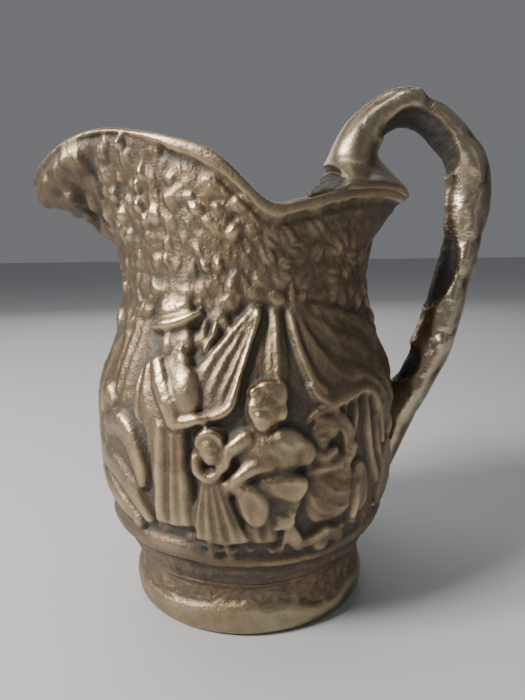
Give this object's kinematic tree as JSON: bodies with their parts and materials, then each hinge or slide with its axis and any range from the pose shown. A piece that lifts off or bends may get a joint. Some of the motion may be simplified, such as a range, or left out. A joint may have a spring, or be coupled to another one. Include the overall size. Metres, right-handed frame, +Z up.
{
  "type": "relief pouring jug",
  "caption": "Cast brass pouring jug with figures in relief round its belly, a pulled spout, a branch handle over the back of the rim and a plain ring foot.",
  "frame": {"origin": "on the ground plane, under the middle of the overall box; the jug's own vertical axis stands at x = -7.1 mm, y = 0", "axes": "+Z up, the jug's longest extent; -X towards the spout, +X towards the handle; Y across the jug, its shortest extent"},
  "size_m": [0.1794, 0.1204, 0.1991],
  "materials": {
    "relief_brass": "antique, dark in the hollows and rubbed bright on the relief",
    "foot_brass": "cast skin above, rubbed to a satin on the rolled edge",
    "handle_brass": "worn satin outside, rough dark casting skin inside the bend",
    "braze_filler": "brazing filler, dull"
  },
  "bodies": {
    "root": {"body_near_half": "relief_brass", "body_far_half": "relief_brass", "foot_ring": "foot_brass", "floor_disc": "foot_brass", "branch_handle": "handle_brass", "spout_seam_braze": "braze_filler", "rear_seam_braze": "braze_filler", "foot_braze": "braze_filler", "floor_braze": "braze_filler", "handle_saddle_braze": "braze_filler"}
  },
  "joints": []
}
